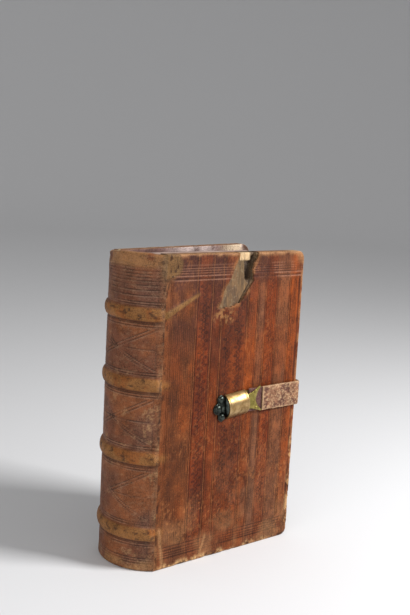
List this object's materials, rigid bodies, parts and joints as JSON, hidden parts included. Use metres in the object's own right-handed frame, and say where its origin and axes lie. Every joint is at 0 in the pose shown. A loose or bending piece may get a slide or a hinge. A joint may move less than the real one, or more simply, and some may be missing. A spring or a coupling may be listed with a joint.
{
  "type": "antique leather book",
  "caption": "Small antique book in worn leather over wooden boards, with raised bands on a rounded spine and a leather strap with a brass clasp.",
  "frame": {"origin": "under the middle of the standing book's box, on the surface it stands on", "axes": "+Z from tail to head, +X from the spine to the fore-edge, -Y out of the front cover"},
  "size_m": [0.1148, 0.056, 0.168],
  "materials": {
    "pages": "matte, aged page edges",
    "pastedown_paper": "matte, foxed",
    "board_wood": "dry bare oak",
    "cover_leather": "worn calf with blind tooling",
    "spine_leather": "worn calf, rubbed pale on the bands",
    "sewing_cord": "twisted cord",
    "lining_cloth": "coarse cloth",
    "endband_thread": "sewn thread",
    "strap_leather": "rough worn leather",
    "clasp_brass": "dull aged brass",
    "rivet_brass": "dark aged brass",
    "catch_iron": "dark, slightly shiny"
  },
  "bodies": {
    "text_block": {"head_endband": "endband_thread", "sewing_cord_1": "sewing_cord", "sewing_cord_2": "sewing_cord", "sewing_cord_3": "sewing_cord", "sewing_cord_4": "sewing_cord", "spine_leather": "spine_leather", "spine_lining_1": "lining_cloth", "spine_lining_2": "lining_cloth", "spine_lining_3": "lining_cloth", "spine_lining_4": "lining_cloth", "spine_lining_5": "lining_cloth", "tail_endband": "endband_thread", "text_block": "pages"},
    "front_cover": {"catch_nail_1": "catch_iron", "catch_nail_2": "catch_iron", "catch_nail_3": "catch_iron", "catch_plate": "catch_iron", "front_board": "board_wood", "front_cord_slip_1": "sewing_cord", "front_cord_slip_2": "sewing_cord", "front_cord_slip_3": "sewing_cord", "front_cord_slip_4": "sewing_cord", "front_cover_leather": "cover_leather", "front_pastedown": "pastedown_paper"},
    "back_cover": {"anchor_nail_1": "rivet_brass", "anchor_nail_2": "rivet_brass", "anchor_nail_3": "rivet_brass", "back_board": "board_wood", "back_cord_slip_1": "sewing_cord", "back_cord_slip_2": "sewing_cord", "back_cord_slip_3": "sewing_cord", "back_cord_slip_4": "sewing_cord", "back_cover_leather": "cover_leather", "back_pastedown": "pastedown_paper", "strap_anchor_plate": "clasp_brass"},
    "strap": {"clasp_strap": "strap_leather"},
    "hasp": {"hasp": "clasp_brass", "hasp_back_plate": "clasp_brass", "hasp_rivet_1": "rivet_brass", "hasp_rivet_2": "rivet_brass"}
  },
  "joints": [
    {"name": "front_cover_hinge", "type": "hinge", "parent": "text_block", "child": "front_cover", "pos_m": [-0.0425, -0.02322, 0], "axis": [0, 0, -1], "range_deg": [0, 105]},
    {"name": "back_cover_hinge", "type": "hinge", "parent": "text_block", "child": "back_cover", "pos_m": [-0.0425, 0.02467, 0], "axis": [0, 0, 1], "range_deg": [0, 36], "deforming": ["clasp_strap"]},
    {"name": "strap_swing", "type": "hinge", "parent": "back_cover", "child": "strap", "pos_m": [0.0503, 0.02397, 0.0862], "axis": [0, 0, 1], "range_deg": [0, 252], "deforming": ["clasp_strap"]},
    {"name": "clasp_hinge", "type": "hinge", "parent": "strap", "child": "hasp", "pos_m": [0.0548, -0.02303, 0.0862], "axis": [0, 0, 1], "range_deg": [0, 100], "deforming": ["clasp_strap"]}
  ],
  "couplings": [
    {"joint": "strap_swing", "follows": "back_cover_hinge", "ratio": 7}
  ]
}
